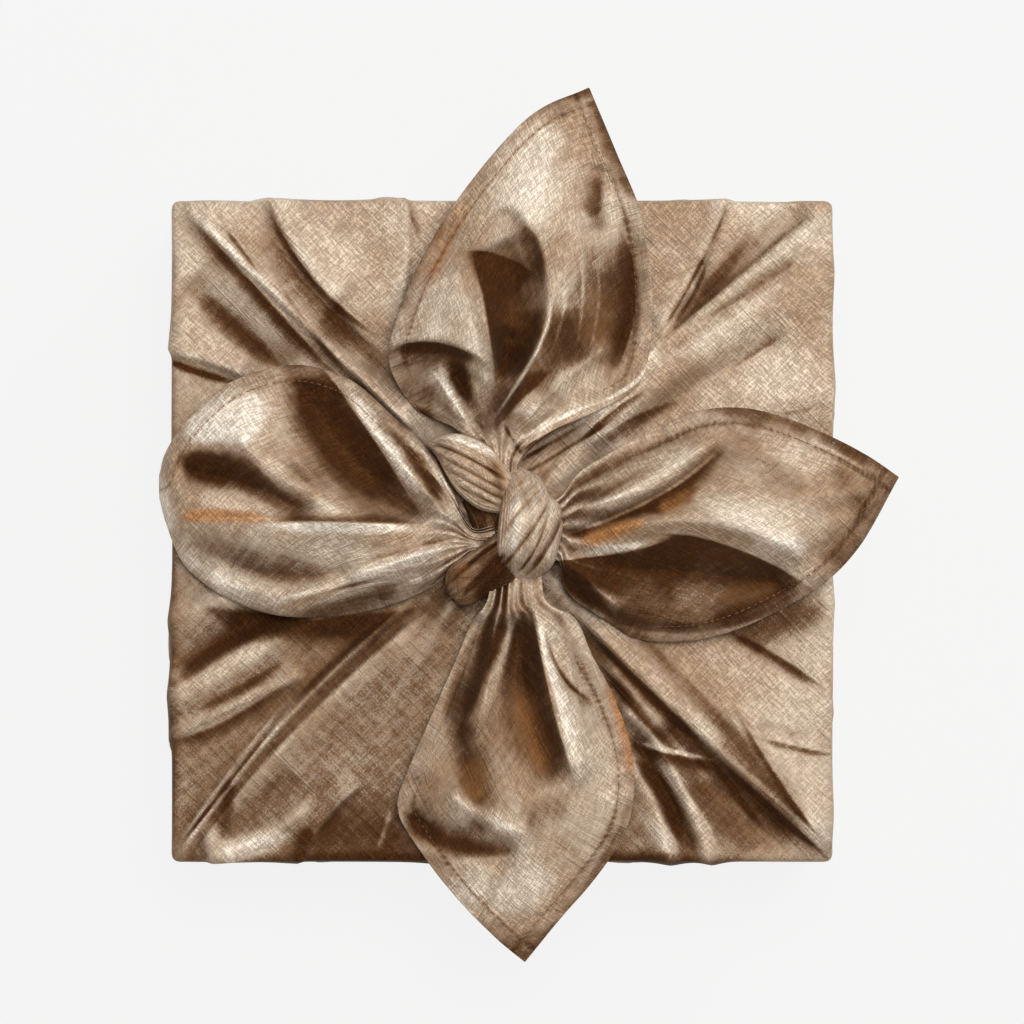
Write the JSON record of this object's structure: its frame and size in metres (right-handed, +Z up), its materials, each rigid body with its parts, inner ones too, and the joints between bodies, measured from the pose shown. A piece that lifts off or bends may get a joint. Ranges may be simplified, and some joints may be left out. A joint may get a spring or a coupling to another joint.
{
  "type": "furoshiki-wrapped gift box",
  "caption": "Square box wrapped in a slubbed silk cloth, gathered on top into a knot with loose hemmed corners.",
  "frame": {"origin": "middle of the flat square face that the wrapped box rests on", "axes": "+Z up out of the knot, +Y along the longer reach of the loose corners, +X to the right seen from above"},
  "size_m": [0.2205, 0.261, 0.1133],
  "materials": {
    "silk": "champagne dupioni silk with slubs and a soft metallic sheen"
  },
  "bodies": {
    "root": {"furoshiki_wrap": "silk"}
  },
  "joints": []
}
